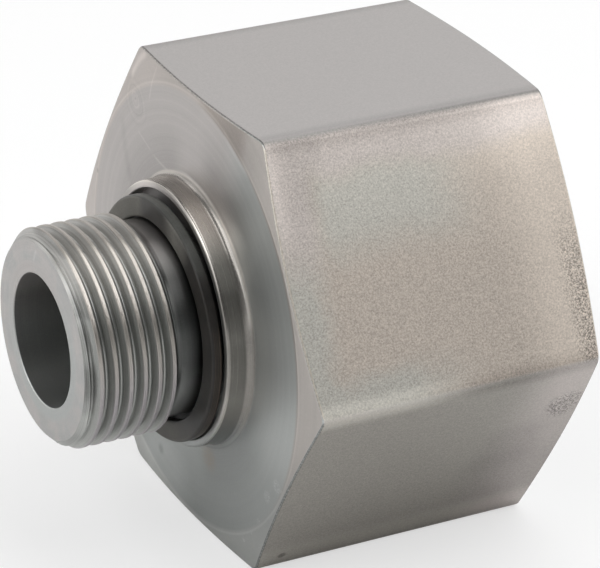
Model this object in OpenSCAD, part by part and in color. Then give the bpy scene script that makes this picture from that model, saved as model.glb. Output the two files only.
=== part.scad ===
// Reducing fitting: a parallel-thread stud with a seal collar on one end of a
// hexagon, and a larger threaded port in the other end.
// The fitting's axis is X. The stud points to -X, the port opens to +X, and a
// flat of the hexagon faces down. The origin is on the axis, in the face of the
// hexagon that the collar stands on.

/* [Hexagon] */
// Width across the flats
hex_af = 55; // [54:0.5:60]
// Length of the hexagon
hex_len = 37.6; // [36:0.1:48]
// Radius of the six long edges
hex_edge_r = 1.5; // [0.5:0.1:3]
// How far the flat end faces stay inside the flats, on the radius
hex_face_inset = 0.5; // [0.2:0.1:1.5]
// Slope of the turned chamfers at both ends, in degrees
hex_chamfer_angle = 10; // [5:1:30]

/* [Stud] */
// Length of the stud in front of the collar's rim
stud_len = 16; // [15:0.1:19]
// Diameter over the crests of the stud's thread
stud_thread_d = 26.2; // [25.8:0.01:28]
// Diameter of the stud's flat end face, inside its 45 degree chamfer
stud_end_d = 23.7; // [22:0.1:24]
// Length of the thread, from the end of the stud to the last crest
stud_thread_len = 11; // [9:0.1:11.2]
// Slope of the last thread's flank down to the neck, in degrees
runout_angle = 58; // [45:1:70]
// Diameter of the plain neck behind the thread
neck_d = 23.6; // [22:0.1:23.8]

/* [Collar] */
// Outer diameter of the collar
collar_d = 32; // [31.5:0.1:36]
// Length of the collar in front of the hexagon
collar_len = 3.2; // [2.8:0.1:6]
// Depth of the seal recess behind the rim
recess_depth = 1.5; // [0.8:0.1:2.2]
// Radius of the rim's outer edge
rim_r = 0.4; // [0.3:0.1:0.8]
// Chamfer on the rim's inner edge
rim_break = 0.12; // [0.05:0.01:0.15]
// Radius of the fillet between the collar and the hexagon
collar_fillet_r = 1; // [0.3:0.1:1.2]

/* [Seal ring] */
// Thickness of the ring along the axis
ring_t = 1.5; // [1:0.1:1.8]
// Width of the ring on the radius
ring_w = 2.65; // [2:0.05:2.8]
// Clearance between the ring and the neck, on the radius
ring_neck_clear = 0.35; // [0.1:0.01:0.5]
// Clearance between the ring and the recess wall, on the radius
ring_wall_clear = 0.25; // [0.1:0.01:0.6]
// Gap between the ring's back face and the collar's rim
ring_gap = 0.3; // [0.1:0.05:0.5]
// Radius of the ring's four edges
ring_edge_r = 0.25; // [0.1:0.05:0.4]

/* [Port] */
// Minor diameter of the port's thread
port_minor_d = 38.952; // [36:0.001:39]
// Depth of the port's thread, on the radius
port_thread_depth = 1.479; // [1.2:0.001:1.6]
// Depth of the cylindrical part of the port
port_depth = 24; // [18:0.5:26]
// Full angle of the cone at the bottom of the port
port_cone_angle = 118; // [110:1:150]
// How far the mouth's countersink is wider than the thread, on the radius
port_mouth_extra = 0.35; // [0.2:0.05:0.6]
// How far the relief groove is cut below the thread's root, on the radius
port_relief_extra = 0.2; // [0.1:0.05:0.4]
// Width of the relief groove's floor
port_relief_w = 2.8; // [2:0.1:4]
// Width of the groove's slope down from the bottom of the port
port_relief_back_w = 0.6; // [0.3:0.1:1]
// Width of the groove's slope up to the thread
port_relief_front_w = 1; // [0.6:0.1:1.6]

/* [Flow bore] */
// Diameter of the bore through the stud
bore_d = 16; // [12:0.5:18]
// Chamfer at the bore's mouth in the stud's end
bore_break = 0.1; // [0.1:0.05:0.5]

/* [Hidden] */
$fn = 96;
arc_steps = 6;
cut_over = 1;
stud_r = stud_thread_d / 2;
stud_end_r = stud_end_d / 2;
neck_r = neck_d / 2;
collar_r = collar_d / 2;
ring_in_r = neck_r + ring_neck_clear;
ring_out_r = ring_in_r + ring_w;
recess_r = ring_out_r + ring_wall_clear;
rim_x = -collar_len;
recess_x = rim_x + recess_depth;
stud_end_x = rim_x - stud_len;
thread_end_x = stud_end_x + stud_thread_len;
neck_start_x = thread_end_x + (stud_r - neck_r) / tan(runout_angle);
ring_back_x = rim_x - ring_gap;
ring_front_x = ring_back_x - ring_t;
hex_face_r = hex_af / 2 - hex_face_inset;
hex_corner_r = hex_af / sqrt(3);
chamfer_rise = (hex_corner_r - hex_face_r) * tan(hex_chamfer_angle);
port_r = port_minor_d / 2;
port_mouth_r = port_r + port_thread_depth + port_mouth_extra;
port_floor_x = hex_len - port_depth;
relief_r = port_r + port_thread_depth + port_relief_extra;
relief_start_x = port_floor_x + port_relief_back_w;
relief_end_x = relief_start_x + port_relief_w;
bore_r = bore_d / 2;
bore_end_x = port_floor_x - (port_r - bore_r) / tan(port_cone_angle / 2);

// Points of an arc about [r, x], from one angle to another
function arc(centre, radius, from, to) =
    [for (i = [0:arc_steps])
        let (a = from + (to - from) * i / arc_steps)
        centre + radius * [cos(a), sin(a)]];

// Turns a profile of [radius, x] points about the X axis
module turned(profile) {
    rotate([0, 90, 0]) rotate_extrude() polygon(profile);
}

// Bar section: six flats, with an arc round each edge between them
module hex_section() {
    edge_centre_r = (hex_af / 2 - hex_edge_r) / cos(30);
    polygon([for (i = [0:5], p = arc(edge_centre_r * [cos(60 * i), sin(60 * i)],
                                    hex_edge_r, 60 * i - 30, 60 * i + 30)) p]);
}

// Hexagon bar, laid along X on one of its flats
module hex_bar() {
    translate([-cut_over, 0, 0]) rotate([0, 90, 0]) rotate(90)
        linear_extrude(hex_len + 2 * cut_over) hex_section();
}

// What the lathe leaves of the bar: flat ends with a shallow cone round each
module hex_turned_ends() {
    turned([
        [0, 0], [hex_face_r, 0], [hex_corner_r, chamfer_rise],
        [hex_corner_r, hex_len - chamfer_rise], [hex_face_r, hex_len], [0, hex_len]
    ]);
}

// Stud, neck and recessed collar, turned in one with the hexagon
module stud_and_collar() {
    turned(concat(
        [[0, stud_end_x], [stud_end_r, stud_end_x],
         [stud_r, stud_end_x + stud_r - stud_end_r], [stud_r, thread_end_x],
         [neck_r, neck_start_x], [neck_r, recess_x], [recess_r, recess_x],
         [recess_r, rim_x + rim_break], [recess_r + rim_break, rim_x]],
        arc([collar_r - rim_r, rim_x + rim_r], rim_r, -90, 0),
        arc([collar_r + collar_fillet_r, -collar_fillet_r], collar_fillet_r, 180, 90),
        [[collar_r + collar_fillet_r, cut_over], [0, cut_over]]
    ));
}

// Flow bore, drilled cone, and the port with its relief groove and countersunk mouth
module passage() {
    turned([
        [0, stud_end_x - cut_over], [bore_r + bore_break, stud_end_x - cut_over],
        [bore_r + bore_break, stud_end_x], [bore_r, stud_end_x + bore_break],
        [bore_r, bore_end_x], [port_r, port_floor_x], [relief_r, relief_start_x],
        [relief_r, relief_end_x], [port_r, relief_end_x + port_relief_front_w],
        [port_r, hex_len - (port_mouth_r - port_r)], [port_mouth_r, hex_len],
        [port_mouth_r, hex_len + cut_over], [0, hex_len + cut_over]
    ]);
}

module body() {
    color([0.56, 0.55, 0.53])
        difference() {
            union() {
                intersection() {
                    hex_bar();
                    hex_turned_ends();
                }
                stud_and_collar();
            }
            passage();
        }
}

// Elastomer ring, round the neck just in front of the recess
module seal_ring() {
    e = ring_edge_r;
    color([0.09, 0.09, 0.09])
        turned(concat(
            arc([ring_in_r + e, ring_front_x + e], e, 180, 270),
            arc([ring_out_r - e, ring_front_x + e], e, 270, 360),
            arc([ring_out_r - e, ring_back_x - e], e, 0, 90),
            arc([ring_in_r + e, ring_back_x - e], e, 90, 180)
        ));
}

body();
seal_ring();
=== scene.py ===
# Reducing fitting: a steel body turned from hexagon bar, and the seal ring behind its stud thread.
# The fitting lies on a flat of its hexagon. Its axis is X, and the stud points to -X.
import math

import bpy
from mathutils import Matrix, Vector


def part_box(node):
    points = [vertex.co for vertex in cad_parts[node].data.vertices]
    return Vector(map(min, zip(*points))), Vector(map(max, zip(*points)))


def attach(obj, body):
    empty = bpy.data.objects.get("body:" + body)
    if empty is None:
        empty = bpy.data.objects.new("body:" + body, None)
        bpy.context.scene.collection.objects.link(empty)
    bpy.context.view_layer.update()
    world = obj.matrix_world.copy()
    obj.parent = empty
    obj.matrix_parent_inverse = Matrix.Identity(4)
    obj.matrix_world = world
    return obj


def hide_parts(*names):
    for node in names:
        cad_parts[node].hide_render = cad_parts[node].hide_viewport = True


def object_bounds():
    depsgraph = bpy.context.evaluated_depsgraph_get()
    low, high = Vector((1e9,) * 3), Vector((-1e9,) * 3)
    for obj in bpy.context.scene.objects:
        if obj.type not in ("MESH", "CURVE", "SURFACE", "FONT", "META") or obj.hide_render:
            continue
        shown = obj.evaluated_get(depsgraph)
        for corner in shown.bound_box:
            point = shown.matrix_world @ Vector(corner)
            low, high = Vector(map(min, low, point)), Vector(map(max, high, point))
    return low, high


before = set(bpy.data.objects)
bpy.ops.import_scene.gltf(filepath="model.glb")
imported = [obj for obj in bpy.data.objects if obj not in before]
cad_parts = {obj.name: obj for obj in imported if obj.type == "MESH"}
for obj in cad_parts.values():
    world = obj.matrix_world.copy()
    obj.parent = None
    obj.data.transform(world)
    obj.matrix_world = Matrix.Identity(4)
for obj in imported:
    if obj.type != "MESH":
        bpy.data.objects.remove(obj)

cad_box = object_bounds()

# Camera, floor and lamps
# A long lens a little above the fitting, on the stud's side, as in the photo. The floor is a plain
# white sheet. It and the backdrop are paler to the camera than they are as light on the part.

# The view is given by the way back from the scene to the camera, in degrees and metres
VIEW_AZIMUTH = -28.43
VIEW_ELEVATION = 26.11
VIEW_ROLL = 1.435
VIEW_DISTANCE = 0.4159
FOCAL_PIXELS = 3536.4
IMAGE_WIDTH = 600
SENSOR_MM = 36
# Where the origin lies in the camera's own directions, right and up
ORIGIN_RIGHT = -0.01282
ORIGIN_UP = -0.00293

azimuth = math.radians(VIEW_AZIMUTH)
elevation = math.radians(VIEW_ELEVATION)
roll = math.radians(VIEW_ROLL)
view_back = Vector((math.sin(azimuth) * math.cos(elevation),
                    -math.cos(azimuth) * math.cos(elevation), math.sin(elevation)))
level_right = Vector((math.cos(azimuth), math.sin(azimuth), 0))
level_up = view_back.cross(level_right)
view_right = level_right * math.cos(roll) + level_up * math.sin(roll)
view_up = level_up * math.cos(roll) - level_right * math.sin(roll)

bpy.ops.object.select_all(action="DESELECT")
bpy.ops.object.camera_add()
camera = bpy.context.object
camera.name = "camera"
camera.location = (view_back * VIEW_DISTANCE - view_right * ORIGIN_RIGHT - view_up * ORIGIN_UP)
camera.rotation_mode = "QUATERNION"
turn = camera.matrix_world.to_3x3()
turn.col[0], turn.col[1], turn.col[2] = view_right, view_up, view_back
camera.rotation_quaternion = turn.to_quaternion()
camera.data.sensor_width = SENSOR_MM
camera.data.lens = FOCAL_PIXELS * SENSOR_MM / IMAGE_WIDTH
bpy.context.scene.camera = camera
bpy.context.scene.view_settings.view_transform = "Standard"


class Value:
    """One socket of a material. Arithmetic on values adds the Math nodes that work it out."""

    def __init__(self, tree, socket=None):
        self.tree = tree
        self.socket = socket

    def node(self, kind, settings=None, sockets=None, output=0):
        """Adds any other node: its settings first, then the values or links of its sockets"""
        made = self.tree.nodes.new("ShaderNode" + kind)
        for name, value in (settings or {}).items():
            setattr(made, name, value)
        for name, value in (sockets or {}).items():
            if isinstance(value, Value):
                self.tree.links.new(value.socket, made.inputs[name])
            else:
                made.inputs[name].default_value = value
        return Value(self.tree, made.outputs[output])

    def math(self, operation, *others):
        return self.node("Math", {"operation": operation}, dict(enumerate((self, *others))))

    def __add__(self, other):
        return self.math("ADD", other)

    def __radd__(self, other):
        return self.math("ADD", other)

    def __sub__(self, other):
        return self.math("SUBTRACT", other)

    def __rsub__(self, other):
        return self.node("Math", {"operation": "SUBTRACT"}, {0: other, 1: self})

    def __mul__(self, other):
        return self.math("MULTIPLY", other)

    def __rmul__(self, other):
        return self.math("MULTIPLY", other)

    def __truediv__(self, other):
        return self.math("DIVIDE", other)

    def __pow__(self, other):
        return self.math("POWER", other)

    def __abs__(self):
        return self.math("ABSOLUTE")

    def rises(self, low, high):
        """0 below low and 1 above high, with a smooth step between them, or falling if low > high"""
        return self.node("MapRange", {"interpolation_type": "SMOOTHSTEP"},
                         {"Value": self, "From Min": low, "From Max": high})

    def noise(self, scale, detail=2, roughness=0.5, stretch=(1, 1, 1)):
        """Noise at this place, with a scale in features per unit of the place"""
        place = self.node("VectorMath", {"operation": "MULTIPLY"}, {0: self, 1: stretch})
        return place.node("TexNoise", {"noise_dimensions": "3D"},
                          {"Vector": place, "Scale": scale, "Detail": detail, "Roughness": roughness})

    def lines(self, scale, detail=2, roughness=0.5):
        """Noise that varies with this one number only"""
        return self.node("TexNoise", {"noise_dimensions": "1D"},
                         {"W": self, "Scale": scale, "Detail": detail, "Roughness": roughness})

    def part(self, index):
        """One component of this vector"""
        return self.node("SeparateXYZ", {}, {0: self}, index)

    def towards(self, direction):
        """How much of this vector lies in a direction"""
        return self.node("VectorMath", {"operation": "DOT_PRODUCT"}, {0: self, 1: direction}, 1)

    def distance(self, there):
        """How far this place is from another"""
        return self.node("VectorMath", {"operation": "DISTANCE"}, {0: self, 1: there}, 1)

    def blend(self, off, on):
        """The first colour where this value is 0, and the second where it is 1"""
        off, on = (c if isinstance(c, Value) else (*c, 1) for c in (off, on))
        return self.node("Mix", {"data_type": "RGBA"}, {0: self, 6: off, 7: on}, 2)

    def scaled(self, factor):
        """This colour made brighter or darker"""
        return self.node("VectorMath", {"operation": "SCALE"}, {0: self, "Scale": factor})

    def stroke(self, start, end, width, bow):
        """1 along a fine mark between two places [y, z] on an end face, bowed to one side"""
        start, end = Vector((0, *start)), Vector((0, *end))
        half = (end - start).length / 2
        way = (end - start).normalized()
        aside = Vector((1, 0, 0)).cross(way)
        along = self.towards(way) - (start + end).dot(way) / 2
        across = self.towards(aside) - (start + end).dot(aside) / 2 - bow
        across = across + along * along * (bow / half ** 2)
        return abs(across).rises(width, 0) * abs(along).rises(half, half * 0.6)

    def rays(self):
        """1 for what the camera sees, and 1 for what metal or glass shows of this"""
        seen = self.node("LightPath")
        glossy = self.node("LightPath", output="Is Glossy Ray")
        return seen, glossy.math("MAXIMUM", self.node("LightPath", output="Is Transmission Ray"))

    def bump(self, distance):
        """Surface relief with this height, and a depth in metres"""
        return self.node("Bump", {}, {"Height": self, "Distance": distance})

    def feeds(self, node, socket):
        """Links this value to a socket of a node that the material already has"""
        self.tree.links.new(self.socket, node.inputs[socket])


FLOOR_Z = cad_box[0][2]
FLOOR_SIZE = 6
PAPER_WHITE = (0.94, 0.94, 0.94, 1)
PAPER_ROUGHNESS = 0.9
# To the camera the paper glows a little near the fitting. Between these distances in metres it
# turns wholly white, and further off the steel mirrors it as white too.
FLOOR_GLOW = 0.6
WHITE_FROM = 0.15
WHITE_BY = 0.6
bpy.ops.object.select_all(action="DESELECT")
bpy.ops.mesh.primitive_grid_add(x_subdivisions=2, y_subdivisions=2, size=FLOOR_SIZE,
                                location=(0, 0, FLOOR_Z))
floor = bpy.context.object
floor.name = "floor"
bpy.ops.object.transform_apply(location=True, rotation=True, scale=True)
paper = bpy.data.materials.new("white_paper")
paper.use_nodes = True
paper_shader = paper.node_tree.nodes["Principled BSDF"]
paper_shader.inputs["Base Color"].default_value = PAPER_WHITE
paper_shader.inputs["Roughness"].default_value = PAPER_ROUGHNESS
paper_shader.inputs["Specular IOR Level"].default_value = 0
matt = Value(paper.node_tree, paper_shader.outputs[0])
seen, mirrored = matt.rays()
far_off = matt.node("TexCoord", output=3).distance((0, 0, FLOOR_Z)).rises(WHITE_FROM, WHITE_BY)
pale = (seen * (FLOOR_GLOW + far_off * (1 - FLOOR_GLOW))).math("MAXIMUM", mirrored * far_off)
paper_mix = matt.node("MixShader", {}, {0: pale, 1: matt, 2: matt.node("Emission")})
paper_mix.feeds(paper.node_tree.nodes["Material Output"], "Surface")
floor.data.materials.append(paper)

# The room is dim, but to the camera it is a white backdrop. The steel mirrors that as white too, up
# to a height that is given as the sine of the angle above the horizon.
WHITE = (1, 1, 1, 1)
ROOM_LIGHT = 0.2
BACKDROP_TOP = 0.25
world = bpy.data.worlds.new("studio")
bpy.context.scene.world = world
world.use_nodes = True
room_shader = world.node_tree.nodes["Background"]
room_shader.inputs["Color"].default_value = WHITE
room_shader.inputs["Strength"].default_value = ROOM_LIGHT
dim = Value(world.node_tree, room_shader.outputs[0])
seen, mirrored = dim.rays()
backdrop = dim.node("TexCoord", output="Generated").part(2).rises(BACKDROP_TOP, 0)
white = dim.node("Background", {}, {"Color": WHITE})
world_mix = dim.node("MixShader", {}, {0: seen.math("MAXIMUM", mirrored * backdrop), 1: dim, 2: white})
world_mix.feeds(world.node_tree.nodes["World Output"], "Surface")

# Softboxes: name, place and size in metres, and brightness, each turned to face the fitting
SOFTBOXES = [
    ("softbox_above", (0.20, -0.02, 0.45), 0.50, 1.9),
    ("softbox_behind", (0.30, 0.60, 0.36), 0.50, 0.83),
    ("softbox_left", (-0.50, -0.02, 0.37), 0.50, 2.4),
    ("softbox_far", (-0.35, 0.64, 0.40), 0.45, 1.55),
    ("softbox_right", (0.40, -0.42, 0.56), 0.45, 2.15),
]
for name, place, size, brightness in SOFTBOXES:
    bpy.ops.object.select_all(action="DESELECT")
    bpy.ops.object.light_add(type="AREA", location=place)
    softbox = bpy.context.object
    softbox.name = name
    softbox.rotation_mode = "QUATERNION"
    softbox.rotation_quaternion = Vector(place).to_track_quat("Z", "Y")
    softbox.data.shape = "SQUARE"
    softbox.data.size = size
    softbox.data.energy = brightness * math.pi * size * size

# Steel body
# One piece, turned from hexagon bar: threaded stud, neck, recessed collar, faced hexagon, bore and
# tapped port. It stands in for the plain CAD body, whose stud and port carry no thread. Lengths
# are in millimetres from here on, and a finished piece is scaled to metres.
MM = 0.001
low, high = (Vector(corner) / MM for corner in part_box("body"))
HEX_AF = high.z - low.z
HEX_LEN = high.x
STUD_END_X = low.x
HEX_EDGE_R = 1.5
# The turned chamfers start at this radius and cut further out than the hexagon's corners
HEX_FACE_R = HEX_AF / 2 - 0.5
BLANK_R = HEX_AF / 2 + 6
CHAMFER_SLOPE = math.tan(math.radians(10))
STUD_R = 13.1
STUD_ROOT_R = 12.058
STUD_END_R = 11.85
STUD_PITCH = 1.814
STUD_GROOVE_X = -21.12
STUD_GROOVE_TURNS = 9
STUD_CREST_ROUND = 0.1
THREAD_END_X = STUD_END_X + 11
NECK_START_X = THREAD_END_X + 0.812
NECK_R = 11.8
RIM_X = -3.2
RIM_ROUND = 0.4
RIM_BREAK = 0.12
RECESS_X = -1.7
RECESS_R = 15.05
COLLAR_R = 16
COLLAR_FILLET = 1
BORE_R = 8
BORE_BREAK = 0.1
BORE_END_X = 6.705
PORT_R = 19.476
PORT_PITCH = 2.309
PORT_DEPTH = 1.479
PORT_GROOVE_TURNS = 11
PORT_CREST_ROUND = 0.317
PORT_FLOOR_X = HEX_LEN - 24
PORT_MOUTH_R = PORT_R + PORT_DEPTH + 0.35
RELIEF_R = PORT_R + PORT_DEPTH + 0.2
RELIEF_START_X = PORT_FLOOR_X + 0.6
RELIEF_END_X = PORT_FLOOR_X + 3.4
PORT_GROOVE_X = RELIEF_START_X + 1.3
# Both threads have the same form: the flanks' half angle, and the root's radius for a pitch of 1
FLANK_DEGREES = 27.5
ROOT_ROUND = 0.1373
TUMBLED_EDGE = 0.25
TURNED_SEGMENTS = 144
THREAD_SEGMENTS = 96
MERGE_DISTANCE = 0.0005


def arc(x, r, radius, start, end, steps):
    """Points [x, r] round a centre, with angles in degrees from the X direction"""
    angles = [math.radians(start + (end - start) * i / steps) for i in range(steps + 1)]
    return [(x + radius * math.cos(a), r + radius * math.sin(a)) for a in angles]


def pick(piece):
    """Selects this piece alone, and makes it the active one"""
    bpy.ops.object.select_all(action="DESELECT")
    piece.select_set(True)
    bpy.context.view_layer.objects.active = piece


def draw_outline(name, points):
    """New mesh in edit mode: one vertex, extruded round a closed outline in the XY plane"""
    bpy.ops.object.select_all(action="DESELECT")
    bpy.ops.mesh.primitive_plane_add(size=1)
    piece = bpy.context.object
    piece.name = name
    bpy.ops.object.mode_set(mode="EDIT")
    bpy.ops.mesh.select_mode(type="VERT")
    bpy.ops.mesh.select_all(action="SELECT")
    bpy.ops.mesh.merge(type="CENTER")
    bpy.ops.transform.translate(value=(*points[0], 0))
    for here, there in zip(points, points[1:] + points[:1]):
        step = (there[0] - here[0], there[1] - here[1], 0)
        bpy.ops.mesh.extrude_region_move(TRANSFORM_OT_translate={"value": step})
    bpy.ops.mesh.select_all(action="SELECT")
    bpy.ops.mesh.remove_doubles(threshold=MERGE_DISTANCE)
    return piece


def turn_outline(name, points):
    """Solid of revolution about the X axis, made by spinning a closed outline"""
    piece = draw_outline(name, points)
    bpy.ops.mesh.select_all(action="SELECT")
    bpy.ops.mesh.spin(steps=TURNED_SEGMENTS, angle=math.tau, center=(0, 0, 0), axis=(1, 0, 0))
    bpy.ops.mesh.select_all(action="SELECT")
    bpy.ops.mesh.remove_doubles(threshold=MERGE_DISTANCE)
    bpy.ops.mesh.normals_make_consistent(inside=False)
    bpy.ops.object.mode_set(mode="OBJECT")
    return piece


def use_modifier(piece, kind, **settings):
    """Adds a modifier, sets it and applies it"""
    modifier = piece.modifiers.new(kind, kind)
    for name, value in settings.items():
        setattr(modifier, name, value)
    pick(piece)
    bpy.ops.object.modifier_apply(modifier=modifier.name)


def cut_with(piece, tool, operation="DIFFERENCE"):
    """Boolean with a tool that is thrown away after the cut"""
    use_modifier(piece, "BOOLEAN", object=tool, operation=operation, solver="EXACT")
    bpy.data.objects.remove(tool)


def groove_tool(name, start_x, turns, pitch, root_r, crest_r, lip_r):
    """Right-handed screw-cutting tool: a groove with a rounded root, swept along its helix"""
    half = math.radians(FLANK_DEGREES)
    root_round = ROOT_ROUND * pitch
    side = 1 if crest_r > root_r else -1
    depth = abs(crest_r - root_r)
    over = 0.4
    root = arc(0, root_round, root_round, FLANK_DEGREES - 180, -FLANK_DEGREES, 6)
    flank_top = depth - lip_r * (1 - math.sin(half))
    flank_x = root[-1][0] + (flank_top - root[-1][1]) * math.tan(half)
    lip = arc(flank_x + lip_r * math.cos(half), depth - lip_r, lip_r, 180 - FLANK_DEGREES, 102, 4)
    right = lip + [(lip[-1][0], depth + over)]
    left = [(-x, y) for x, y in reversed(right)]
    points = [(x + start_x, root_r + side * y) for x, y in left + root + right]
    tool = draw_outline(name, points)
    bpy.ops.object.mode_set(mode="OBJECT")
    use_modifier(tool, "SCREW", axis="X", angle=math.tau, screw_offset=pitch, iterations=turns,
                 steps=THREAD_SEGMENTS, render_steps=THREAD_SEGMENTS, use_merge_vertices=False)
    bpy.ops.object.mode_set(mode="EDIT")
    bpy.ops.mesh.select_all(action="SELECT")
    bpy.ops.mesh.fill_holes(sides=0)
    bpy.ops.mesh.select_all(action="SELECT")
    bpy.ops.mesh.normals_make_consistent(inside=False)
    bpy.ops.object.mode_set(mode="OBJECT")
    return tool


# Everything that the lathe turns, in one outline of [x, radius] points
cone_x = (BLANK_R - HEX_FACE_R) * CHAMFER_SLOPE
stud_outline = [
    (STUD_END_X, BORE_R + BORE_BREAK), (STUD_END_X, STUD_END_R),
    (STUD_END_X + STUD_R - STUD_END_R, STUD_R), (THREAD_END_X, STUD_R),
    (NECK_START_X, NECK_R), (RECESS_X, NECK_R), (RECESS_X, RECESS_R),
    (RIM_X + RIM_BREAK, RECESS_R), (RIM_X, RECESS_R + RIM_BREAK),
]
stud_outline += arc(RIM_X + RIM_ROUND, COLLAR_R - RIM_ROUND, RIM_ROUND, 180, 90, 8)
stud_outline += arc(-COLLAR_FILLET, COLLAR_R + COLLAR_FILLET, COLLAR_FILLET, 270, 360, 8)
hexagon_outline = [
    (0, HEX_FACE_R), (cone_x, BLANK_R), (HEX_LEN - cone_x, BLANK_R), (HEX_LEN, HEX_FACE_R),
]
port_outline = [
    (HEX_LEN, PORT_MOUTH_R), (HEX_LEN - PORT_MOUTH_R + PORT_R, PORT_R), (RELIEF_END_X + 1, PORT_R),
    (RELIEF_END_X, RELIEF_R), (RELIEF_START_X, RELIEF_R), (PORT_FLOOR_X, PORT_R),
    (BORE_END_X, BORE_R), (STUD_END_X + BORE_BREAK, BORE_R),
]
body = turn_outline("reducer_body", stud_outline + hexagon_outline + port_outline)

# The bar that is left round the turned shape: a hexagon with rounded long edges
bpy.ops.object.select_all(action="DESELECT")
bpy.ops.mesh.primitive_cylinder_add(vertices=6, radius=HEX_AF / math.sqrt(3), depth=3 * HEX_LEN,
                                    rotation=(0, math.pi / 2, 0))
bar = bpy.context.object
bpy.ops.object.transform_apply(location=True, rotation=True, scale=True)
bpy.ops.object.mode_set(mode="EDIT")
bpy.ops.mesh.select_mode(type="EDGE")
bpy.ops.mesh.select_all(action="DESELECT")
bpy.ops.object.mode_set(mode="OBJECT")
for edge in bar.data.edges:
    ends = [bar.data.vertices[i].co for i in edge.vertices]
    edge.select = abs(ends[0].x - ends[1].x) > HEX_LEN
bpy.ops.object.mode_set(mode="EDIT")
bpy.ops.mesh.bevel(offset_type="OFFSET", offset=HEX_EDGE_R * math.tan(math.radians(30)), segments=6,
                   profile=0.5)
bpy.ops.object.mode_set(mode="OBJECT")
cut_with(body, bar, "INTERSECT")

# The sharp edges that the lathe leaves along the flats are tumbled soft. They are the ones far out
# whose two faces have normals with a small dot product.
SHARP_DOT = 0.4
SLIVER_LENGTH = 0.002
pick(body)
bpy.ops.object.mode_set(mode="EDIT")
bpy.ops.mesh.select_all(action="SELECT")
bpy.ops.mesh.remove_doubles(threshold=SLIVER_LENGTH)
bpy.ops.mesh.select_mode(type="EDGE")
bpy.ops.mesh.select_all(action="DESELECT")
bpy.ops.object.mode_set(mode="OBJECT")
faces_beside = {}
for face in body.data.polygons:
    for key in face.edge_keys:
        faces_beside.setdefault(key, []).append(face)
for edge in body.data.edges:
    faces = faces_beside[edge.key]
    far_out = min(math.hypot(*body.data.vertices[i].co[1:]) for i in edge.vertices) > HEX_FACE_R
    sharp = len(faces) == 2 and abs(faces[0].normal.dot(faces[1].normal)) < SHARP_DOT
    edge.select = far_out and sharp
bpy.ops.object.mode_set(mode="EDIT")
bpy.ops.mesh.bevel(offset_type="OFFSET", offset=TUMBLED_EDGE, segments=3, profile=0.5)
bpy.ops.object.mode_set(mode="OBJECT")

# Both threads are cut last. The stud's crests keep a narrow flat with a small rounding beside it.
cut_with(body, groove_tool("stud_groove", STUD_GROOVE_X, STUD_GROOVE_TURNS, STUD_PITCH,
                           STUD_ROOT_R, STUD_R, STUD_CREST_ROUND))
cut_with(body, groove_tool("port_groove", PORT_GROOVE_X, PORT_GROOVE_TURNS, PORT_PITCH,
                           PORT_R + PORT_DEPTH, PORT_R, PORT_CREST_ROUND))


# How far an edge's ends may be off the crease that it is part of
CREASE_SLACK = 0.02


def finish_mesh(piece, smooth_degrees, crease_r=None):
    """Brings a piece from millimetres to metres, smooths its curved faces and keeps its flats flat"""
    pick(piece)
    bpy.ops.object.shade_smooth_by_angle(angle=math.radians(smooth_degrees))
    if crease_r:
        bpy.ops.object.mode_set(mode="EDIT")
        bpy.ops.mesh.select_mode(type="EDGE")
        bpy.ops.mesh.select_all(action="DESELECT")
        bpy.ops.object.mode_set(mode="OBJECT")
        for edge in piece.data.edges:
            ends = [piece.data.vertices[i].co for i in edge.vertices]
            on_circle = all(abs(math.hypot(end.y, end.z) - crease_r) < CREASE_SLACK for end in ends)
            edge.select = on_circle and abs(ends[0].x - ends[1].x) < CREASE_SLACK / 2
        bpy.ops.object.mode_set(mode="EDIT")
        bpy.ops.mesh.mark_sharp()
        bpy.ops.object.mode_set(mode="OBJECT")
    piece.scale = (MM, MM, MM)
    bpy.ops.object.transform_apply(location=True, rotation=True, scale=True)
    use_modifier(piece, "WEIGHTED_NORMAL", keep_sharp=True, weight=100)


# The crease where each turned chamfer starts stays sharp
BODY_SMOOTH_DEGREES = 28
finish_mesh(body, BODY_SMOOTH_DEGREES, crease_r=HEX_FACE_R)


def new_material(name):
    """A material with its shader, and the place on the piece in millimetres as a vector value"""
    material = bpy.data.materials.new(name)
    material.use_nodes = True
    tree = material.node_tree
    shader = tree.nodes["Principled BSDF"]
    here = Value(tree).node("TexCoord", output=3)
    place = here.node("VectorMath", {"operation": "SCALE"}, {0: here, "Scale": 1 / MM})
    return material, shader, place


# Machined steel: the bar's flats keep a fine grain, the turned surfaces carry the marks of the tool,
# the edges are worn pale, and painted light and shade lie over it, darkest on the neck and the recess
steel, shader, place = new_material("machined_steel")
normal = Value(place.tree).node("TexCoord", output=1)
along = place.part(0)
across = place.part(1)
up = place.part(2)
radius = (across * across + up * up) ** 0.5
end_facing = abs(normal.part(0))
facing_up = normal.part(2)
outside = radius.rises(HEX_FACE_R - 0.6, HEX_FACE_R - 0.1)
on_bar = outside * end_facing.rises(0.5, 0.3)
grain = place.noise(4.6, 4, 0.75)
cloud = place.noise(0.12, 3, 0.5)

# The bar's flats: nearly even on top, and warmer and coarser on the flat that faces the camera,
# where the warm middle gives way to greener strips in front and below and to a pale rear edge
PLAIN_FLAT = (0.46, 0.45, 0.43)
PALE_FLAT = (0.475, 0.45, 0.43)
TOP_FLAT = (0.468, 0.448, 0.438)
SIDE_WARM = (0.462, 0.415, 0.368)
SIDE_GREEN = (0.44, 0.428, 0.392)
SIDE_PINK = (0.475, 0.44, 0.425)
UNDER_FRONT = (0.47, 0.45, 0.414)
UNDER_REAR = (0.484, 0.45, 0.43)
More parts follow.
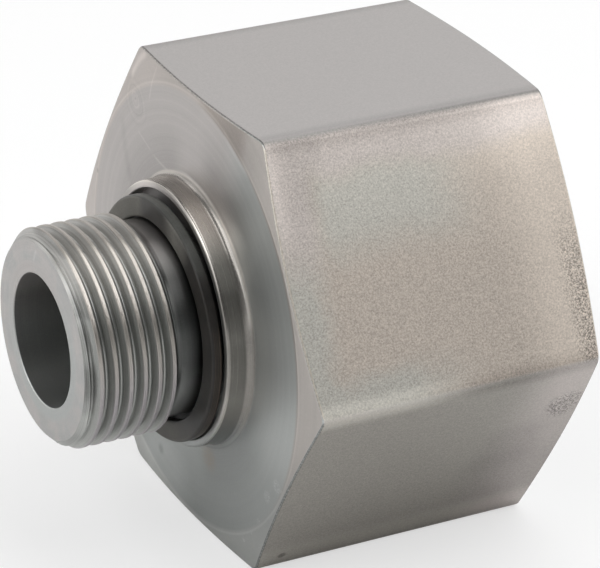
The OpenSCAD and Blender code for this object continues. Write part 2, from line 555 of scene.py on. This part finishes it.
# Directions square to these flats and to the edge above them, and up along the first
SIDE_OUT = (0, -0.866, 0.5)
UNDER_OUT = (0, -0.866, -0.5)
TOP_EDGE_OUT = (0, -0.5, 0.866)
SIDE_UP = (0, 0.5, 0.866)
top_flat = facing_up.rises(0.9, 0.97)
side_flat = normal.towards(SIDE_OUT).rises(0.8, 0.97)
under_flat = normal.towards(UNDER_OUT).rises(0.75, 1)
top_edge = normal.towards(TOP_EDGE_OUT).rises(0.93, 0.99) * on_bar
long_edge = radius.rises(30.6, 31.5) * on_bar
height = place.towards(SIDE_UP) + (cloud - 0.5) * 5
reach = along + (cloud - 0.5) * 6
green = reach.rises(3, 8) * reach.rises(29, 18) * height.rises(-1, 6) * height.rises(14, 9)
green += reach.rises(6, 2.5) * height.rises(6, -2) + height.rises(-10, -14) * reach.rises(24, 10)
pink = height.rises(10, 13) + reach.rises(6.5, 3.5) * height.rises(-2, 6) * height.rises(13, 10)
side_tint = (pink * 0.7).blend(green.blend(SIDE_WARM, SIDE_GREEN), SIDE_PINK)
flat_tint = cloud.rises(0.35, 0.65).blend(PLAIN_FLAT, PALE_FLAT)
flat_tint = top_flat.blend(flat_tint, TOP_FLAT)
flat_tint = side_flat.blend(flat_tint, side_tint)
flat_tint = under_flat.blend(flat_tint, along.rises(24, 33).blend(UNDER_FRONT, UNDER_REAR))

# How bright they are: the grain, painted light towards the top and rear of the flat facing the camera
coarse = 0.6 + side_flat * 0.6 - top_flat * 0.25
shade = 1 + (grain - 0.5) * coarse * 1.6
painted_side_light = height.rises(-4, 15) * 0.8 + along.rises(26, 34) * 1.2
painted_side_light += height.rises(6, 15) * along.rises(18, 34) * 1.3
shade += side_flat * painted_side_light * 0.22
shade += side_flat * along.rises(2.2, 0.9) * height.rises(2, 8) * 0.16
shade -= side_flat * abs(reach - 4.5).rises(3.5, 1) * height.rises(5, 9) * 0.12
# Painted shade on the flat under it, which faces down: darker low down, lighter at its rear and bottom
rear = along.rises(24, 36) * 0.24 + along.rises(26, 34) * up.rises(-12, -4) * 0.15
shade -= under_flat * (0.26 - rear)
shade -= under_flat * along.rises(22, 30) * up.rises(-12, -18) * up.rises(-26, -22) * 0.12
shade -= under_flat * abs(along - 30).rises(6, 2) * up.rises(-8, -12) * up.rises(-19, -15) * 0.1
shade += under_flat * up.rises(-22.5, -25) * 0.16
shade -= under_flat * place.distance((3.7, -17.1, -25.4)).rises(0.7, 0.3) * 0.4
# Painted shade on the long edges against the lamp above, and a paler line on the lower one in front
shade -= long_edge * (0.12 - abs(up).rises(4, 1) * reach.rises(26, 10) * 0.5)
shade -= top_edge * (0.12 + along.rises(5, 30) * 0.15)

# Fine pits along the rear of the flat that faces the camera, and a patch of them under it
pitted = along.rises(33.5, 36) * height.rises(4, -8) * side_flat
pitted += (place.distance((34.8, -27.6, -7.2)) + (cloud - 0.5) * 4).rises(3.2, 1.2) * under_flat
speckle = 1 - pitted * (0.06 + grain.rises(0.52, 0.42) * 0.5 - grain.rises(0.54, 0.62) * 0.25)
flat_tint = flat_tint.scaled(shade * speckle)

# Turned surfaces: rings at the feed of the tool, fainter lower down, crossed by clouding and by
# hairline scratches
TURNED_COOL = (0.438, 0.452, 0.442)
TURNED_WARM = (0.475, 0.45, 0.436)
feed = radius + along
marks = feed.lines(7, 3, 0.6)
slow_marks = feed.lines(1.1, 2, 0.5)
fresh = 1 - up.rises(4, -10) * 0.6
hairs = place.noise(1, 1, 0.5, (1, 9, 0.5)).rises(0.64, 0.72)
hairs += place.noise(1, 1, 0.5, (1, 0.6, 8)).rises(0.66, 0.74)
warm = (place.towards(SIDE_UP) + (cloud - 0.5) * 16).rises(-4, 12) * across.rises(-15, -6)
turned_tint = warm.blend(TURNED_COOL, TURNED_WARM)
tool_marks = (marks - 0.5) * fresh * 0.22 + (slow_marks - 0.5) * fresh * 0.12
tool_marks += (grain - 0.5) * 0.2 + hairs * 0.05
turned_shade = 1 + tool_marks

# Marks on the face behind the collar: a curl, scratches, pits with bright rims and a spot of rust
front = end_facing.rises(0.9, 0.97) * abs(along).rises(1.5, 1.2)
front *= radius.rises(COLLAR_R - 0.2, COLLAR_R + 0.3)
curl = place.distance((0, 15.3, 21)) + (cloud - 0.5) * 4
strokes = (curl.lines(1.9, 1) - 0.5) * curl.rises(3.6, 1.6) * 0.5
strokes += abs(radius - HEX_FACE_R - 0.05).rises(0.22, 0.03) * 0.12
# Scratches: start and end [y, z], width, bow to one side, and brightness
SCRATCHES = [
    ((13.2, 27.4), (17.2, 22.7), 0.8, 0.6, 0.3),
    ((10, 27.5), (11.7, 21.8), 0.25, 0, 0.12),
    ((14.9, 17.2), (10.8, 15.8), 0.22, 0, 0.12),
    ((11.1, 15.8), (0.6, 15.9), 0.3, 0.65, 0.16),
    ((19, 18), (16.2, 9), 1.1, 0.5, -0.07),
    ((-7.5, 26), (-14.5, 22.8), 0.6, 0.4, 0.1),
]
for start, end, width, bow, bright in SCRATCHES:
    strokes += place.stroke(start, end, width, bow) * bright
# Pits: y, z and size
PITS = [
    (-20.1, -15.1, 1.2), (-22.4, -12.6, 1.3), (-23.5, -12.7, 0.35), (-18.1, -19.3, 0.5),
    (-16.4, -21.9, 0.35), (-14.2, -24, 0.5),
]
for y, z, size in PITS:
    pit = place.distance((0, y, z)) + (grain - 0.5) * size * 2
    strokes += abs(pit - size * 0.5).rises(size * 0.4, 0) * grain.rises(0.45, 0.6) * 0.35
strokes -= place.distance((0, 7.8, -22.6)).rises(1, 0.2) * 0.25
strokes -= place.distance((0, 26.1, 7.2)).rises(0.4, 0.15) * 0.3
turned_shade += strokes * front
rust = place.distance((0, -5.2, -17.4)).rises(2.4, 0.5) * grain.rises(0.38, 0.55) * front * 0.4

# The same face: painted light beside the collar, painted shade near it and low down, soft clouds
beside = front * place.towards((0, -0.95, 0.3)).rises(8, 17) * up.rises(-16, -4)
turned_shade += beside * 0.2 - end_facing.rises(0.9, 0.95) * 0.05
turned_shade += front * (place.towards(SIDE_OUT) / radius).rises(0.88, 1) * 0.16
turned_shade -= front * radius.rises(24, 16.5) * abs(across).rises(1, 6) * 0.2
turned_shade -= front * up.rises(-6, -14) * 0.07
# Clouds: y, z, the radius where each begins, the radius where it is full, and brightness
CLOUDS = [(-10, 22, 9, 2, -0.22), (-10.5, 14, 6, 2, -0.2), (7, -25, 9, 3, 0.2)]
for y, z, begins, full, bright in CLOUDS:
    turned_shade += front * place.distance((0, y, z)).rises(begins, full) * bright

# The chamfer round this face, darker and brown where it is smeared near the top
CHAMFER_TINT = (0.472, 0.433, 0.405)
SMEAR_TINT = (0.48, 0.435, 0.4)
chamfer = outside * end_facing.rises(0.95, 0.97)
smeared = chamfer * up.rises(20, 23) * across.rises(-13.5, -11) * across.rises(0, -4)
# Painted shade on its side towards the camera, painted light on its far side and at its bottom
turned_shade -= chamfer * across.rises(0, -10) * up.rises(-18, -6) * 0.16
turned_shade += chamfer * (across.rises(5, 12) * 0.08 + up.rises(-18, -24) * 0.15)
turned_shade -= smeared * 0.18
turned_tint = (chamfer * (0.15 + up.rises(-18, -8) * 0.65)).blend(turned_tint, CHAMFER_TINT)

# The stud's thread, with torn spots that follow its helix, and bright crests
THREAD_TINT = (0.448, 0.45, 0.428)
CREST_BELOW = (0.475, 0.445, 0.46)
CREST_ABOVE = (0.49, 0.452, 0.41)
on_stud = along.rises(THREAD_END_X + 0.6, THREAD_END_X + 0.3) * radius.rises(9, 10)
thread = on_stud * end_facing.rises(0.97, 0.93)
end_chamfer = thread * along.rises(STUD_END_X + 1.35, STUD_END_X + 1.15)
crest = on_stud * radius.rises(STUD_R - 0.2, STUD_R - 0.05)
root = on_stud * radius.rises(12.45, 12.1) * end_facing.rises(0.95, 0.8)
# Painted light and shade on it: lighter low down and just under the top, darker on top and on the side
# towards the camera; its roots are darker
turned_shade -= thread * (0.16 - up.rises(-7, -12) * 0.3) + root * 0.08
turned_shade += thread * (up.rises(10, 11.5) * 0.1 - up.rises(12.2, 12.7) * 0.14)
turned_shade -= thread * up.rises(9, 6) * up.rises(-6, -2) * across.rises(-4, -10) * 0.1
turned_shade -= (thread - end_chamfer) * up.rises(10.5, 9) * up.rises(4, 7) * 0.06
phase = along * (math.tau / STUD_PITCH) - up.math("ARCTAN2", across)
helix = phase.node("CombineXYZ", {}, {0: phase.math("COSINE"), 1: phase.math("SINE"), 2: along * 0.3})
turned_shade += thread * (helix.noise(3, 3, 0.7) - 0.5) * 0.9
turned_tint = (thread * 0.6).blend(turned_tint, THREAD_TINT)

# The stud's end: a chamfer with painted shade at top and side and painted light below, and a patchy face
END_COOL = (0.449, 0.447, 0.439)
END_WARM = (0.462, 0.445, 0.432)
turned_shade -= end_chamfer * up.rises(11.9, 12.3) * 0.22
turned_shade -= end_chamfer * up.rises(10, 8.6) * up.rises(6.8, 7.6) * 0.26
turned_shade -= end_chamfer * across.rises(0, -5) * abs(up).rises(3.2, 1) * 0.26
turned_shade += end_chamfer * across.rises(0, -5) * up.rises(-3.5, -5) * up.rises(-9, -7) * 0.18
stud_end = on_stud * end_facing.rises(0.93, 0.97)
patches = place.noise(0.35, 4, 0.65)
nick = place.stroke((1.2, 11.2), (2.2, 9), 0.4, 0)
turned_shade += stud_end * ((patches - 0.5) * 0.35 + nick * 0.15)
turned_tint = stud_end.blend(turned_tint, patches.rises(0.4, 0.6).blend(END_COOL, END_WARM))

# Painted shade on the neck and the recess, less low down; painted light and shade in the duller bore
neck = along.rises(THREAD_END_X, NECK_START_X) * along.rises(-1, -1.6)
neck *= radius.rises(RECESS_R + 0.15, RECESS_R - 0.05)
hole = radius.rises(BORE_R + 0.15, BORE_R + 0.05)
under_crest = up.rises(7.5, 9.5) * 0.25 - up.rises(8, 6) * up.rises(1, 4) * 0.12 + up.rises(0, -3) * 0.4
turned_shade -= neck * tool_marks * 0.6
turned_shade -= neck * (0.5 + up.rises(10.5, 8.5) * 0.24 + along.rises(-6.8, -7.2) * under_crest)
turned_shade += neck * up.rises(0, -6) * up.rises(-10.5, -8.5) * 0.6
turned_shade += hole * (0.1 - across.rises(3, 7) * up.rises(4.5, 1.5) * 0.45)

# The collar and its fillet to the face, in bands of painted light and shade round them
COLLAR_TINT = (0.482, 0.45, 0.41)
collar = along.rises(RIM_X - 0.1, RIM_X + 0.1) * along.rises(0, -0.1)
collar *= radius.rises(RECESS_R + 0.05, RECESS_R + 0.35)
fillet = collar * along.rises(-COLLAR_FILLET, -0.6)
rim = collar - fillet
turned_shade -= rim * (0.35 - up.rises(11, 14) * 0.85 - up.rises(4, -7) * 0.2)
turned_shade -= rim * abs(across).rises(6, 1) * up.rises(10, 14) * 0.9
turned_shade -= rim * abs(up).rises(5, 2) * 0.2
turned_shade -= rim * up.rises(3, 5) * up.rises(9.5, 8) * 0.18
foot = radius.rises(COLLAR_R + 0.05, COLLAR_R + 0.25) * radius.rises(COLLAR_R + 0.6, COLLAR_R + 0.35) * 0.6
foot -= radius.rises(COLLAR_R + 0.5, COLLAR_R + 0.7) * 0.12
foot *= across.rises(5, 1) - across.rises(-2, -6) * 0.35
turned_shade -= fillet * (0.35 - up.rises(9, 15) * 0.4 - up.rises(4, -7) * 0.15)
turned_shade -= fillet * up.rises(9.5, 12) * foot
turned_shade += fillet * up.rises(3, 5.5) * up.rises(9.5, 8) * 0.12
turned_shade -= fillet * up.rises(-14, -6) * up.rises(6, 4) * 0.24
turned_tint = (collar * up.rises(-12, -6) * 0.8).blend(turned_tint, COLLAR_TINT)

# Smears, crests and rust lie over the other colours
RUST = (0.5, 0.38, 0.24)
turned_tint = smeared.blend(turned_tint, SMEAR_TINT)
# The crests are worn bright, with a painted highlight tint, warm where they face up and pinker below
turned_tint = (crest * 0.8).blend(turned_tint, facing_up.rises(-0.3, 0.3).blend(CREST_BELOW, CREST_ABOVE))
turned_tint = rust.blend(turned_tint, RUST).scaled(turned_shade)

# The edge between flats and chamfers: worn pale by the camera's flat, with painted light and shade
RUBBED_TINT = (0.5, 0.45, 0.385)
bar_edge = outside * end_facing.rises(0.15, 0.3) * end_facing.rises(0.96, 0.92)
side_edge = bar_edge * facing_up.rises(0.1, 0.2) * facing_up.rises(0.6, 0.5)
edge_wear_and_shade = facing_up.rises(-0.25, 0.1) * 0.55 - facing_up.rises(0.5, 0.75) * 0.65 - 0.45
edge_wear_and_shade -= facing_up.rises(0.1, 0.3) * height.rises(6, -2) * 0.12
edge_wear_and_shade += side_edge * (end_facing.rises(0.75, 0.55) * 0.5 - end_facing.rises(0.7, 0.85) * 0.3)
edge_wear_and_shade += (grain - 0.5) * 1.5
tint = (side_edge * 0.7).blend(on_bar.blend(turned_tint, flat_tint), RUBBED_TINT)
tint.scaled(1 + bar_edge * edge_wear_and_shade).feeds(shader, "Base Color")

STEEL_RELIEF = 0.0000025
turned_rough = 0.33 + end_facing.rises(0.6, 0.95) * 0.13 + (marks - 0.5) * fresh * 0.16
turned_rough += hole * 0.12 + thread * 0.02 - collar * 0.08
flat_rough = 0.58 + (grain - 0.5) * 0.3 - top_flat * 0.1 + long_edge * 0.1
(turned_rough + (flat_rough - turned_rough) * on_bar).feeds(shader, "Roughness")
shader.inputs["Metallic"].default_value = 1
relief = (marks - 0.5 + strokes * front * 3) * (1 - on_bar) * (1 - neck * 0.6)
relief += (grain - 0.5) * on_bar * coarse * 2.5
relief.bump(STEEL_RELIEF).feeds(shader, "Normal")
body.data.materials.clear()
body.data.materials.append(steel)
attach(body, "root")
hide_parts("body")

# Seal ring
# A moulded elastomer ring of flat section with rounded edges. It is loose on the neck, so it
# hangs a little low, just in front of the recess that it is pushed into when the stud is tight.
RING_FRONT_X = -5.0
RING_BACK_X = -3.5
RING_IN_R = 12.15
RING_OUT_R = 14.8
RING_EDGE_R = 0.4
RING_SMOOTH_DEGREES = 40
# It stands a little askew, with its far side further from the recess
RING_PLACE = (-0.03, 0, -0.22)
RING_ASKEW = 1.6
ring_back = RING_BACK_X - RING_EDGE_R
ring_front = RING_FRONT_X + RING_EDGE_R
ring_inner = RING_IN_R + RING_EDGE_R
ring_outer = RING_OUT_R - RING_EDGE_R
ring_outline = arc(ring_back, ring_inner, RING_EDGE_R, 270, 360, 4)
ring_outline += arc(ring_back, ring_outer, RING_EDGE_R, 0, 90, 4)
ring_outline += arc(ring_front, ring_outer, RING_EDGE_R, 90, 180, 4)
ring_outline += arc(ring_front, ring_inner, RING_EDGE_R, 180, 270, 4)
ring = turn_outline("reducer_seal_ring", ring_outline)
ring.location = RING_PLACE
ring.rotation_euler = (0, 0, math.radians(RING_ASKEW))
pick(ring)
bpy.ops.object.transform_apply(location=True, rotation=True, scale=True)
finish_mesh(ring, RING_SMOOTH_DEGREES)

# Elastomer: black, with a front face dusted pale and painted lighter at the top-left and bottom, moulding
# clouds and faint rings round its edge, which has a painted sheen on top and is brown at the side
RUBBER_BLACK = (0.017, 0.016, 0.015)
RUBBER_GREY = (0.026, 0.023, 0.021)
FRONT_DUST_AND_LIGHT = (0.15, 0.145, 0.13)
EDGE_SHEEN = (0.12, 0.125, 0.115)
RUBBER_BROWN = (0.1, 0.075, 0.055)
RUBBER_SPECULAR = 0.25
RUBBER_RELIEF = 0.000012
elastomer, shader, place = new_material("elastomer")
facing_x = Value(place.tree).node("TexCoord", output=1).part(0)
across = place.part(1)
up = place.part(2)
cloud = place.noise(0.5, 3, 0.6)
grain = place.noise(5, 3, 0.6)
rings = place.part(0).lines(3.5, 2, 0.6)
# Where the front face is dusted pale, and where painted light makes it paler, at top-left and bottom
dust_and_light = 0.04 + across.rises(-2, 3) * 0.16 + place.towards((0, 0.6, 0.8)).rises(2, 12) * 0.8
dust_and_light += up.rises(-9, -13) * 0.5 + abs(across + 6).rises(3, 1) * up.rises(9, 11) * 0.35
dust_and_light *= (0.6 + cloud * 1.2) * (1 - abs(across).rises(4.5, 2) * up.rises(4, 8) * 0.8)
dusty_and_lit = facing_x.rises(-0.6, -0.95) * dust_and_light
edge = abs(facing_x).rises(0.8, 0.4)
brown = edge * up.rises(6, 2) * rings.rises(0.45, 0.65)
rubber = cloud.rises(0.35, 0.65).blend(RUBBER_BLACK, RUBBER_GREY)
rubber = dusty_and_lit.blend(rubber, FRONT_DUST_AND_LIGHT)
# A painted sheen along the top of the edge
rubber = (edge * up.rises(9, 12) * (0.5 + cloud) * 0.6).blend(rubber, EDGE_SHEEN)
rubber = (brown * 0.7).blend(rubber, RUBBER_BROWN)
rubber.scaled(1 + (grain - 0.5) * 0.5 + (rings - 0.5) * 0.5).feeds(shader, "Base Color")
(0.26 + cloud * 0.16 + dusty_and_lit * 0.3 + (rings - 0.5) * 0.15).feeds(shader, "Roughness")
shader.inputs["Specular IOR Level"].default_value = RUBBER_SPECULAR
relief = (grain - 0.5) * 0.6 + cloud * 2 + (rings - 0.5)
relief.bump(RUBBER_RELIEF).feeds(shader, "Normal")
ring.data.materials.clear()
ring.data.materials.append(elastomer)
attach(ring, "root")
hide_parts("seal_ring")
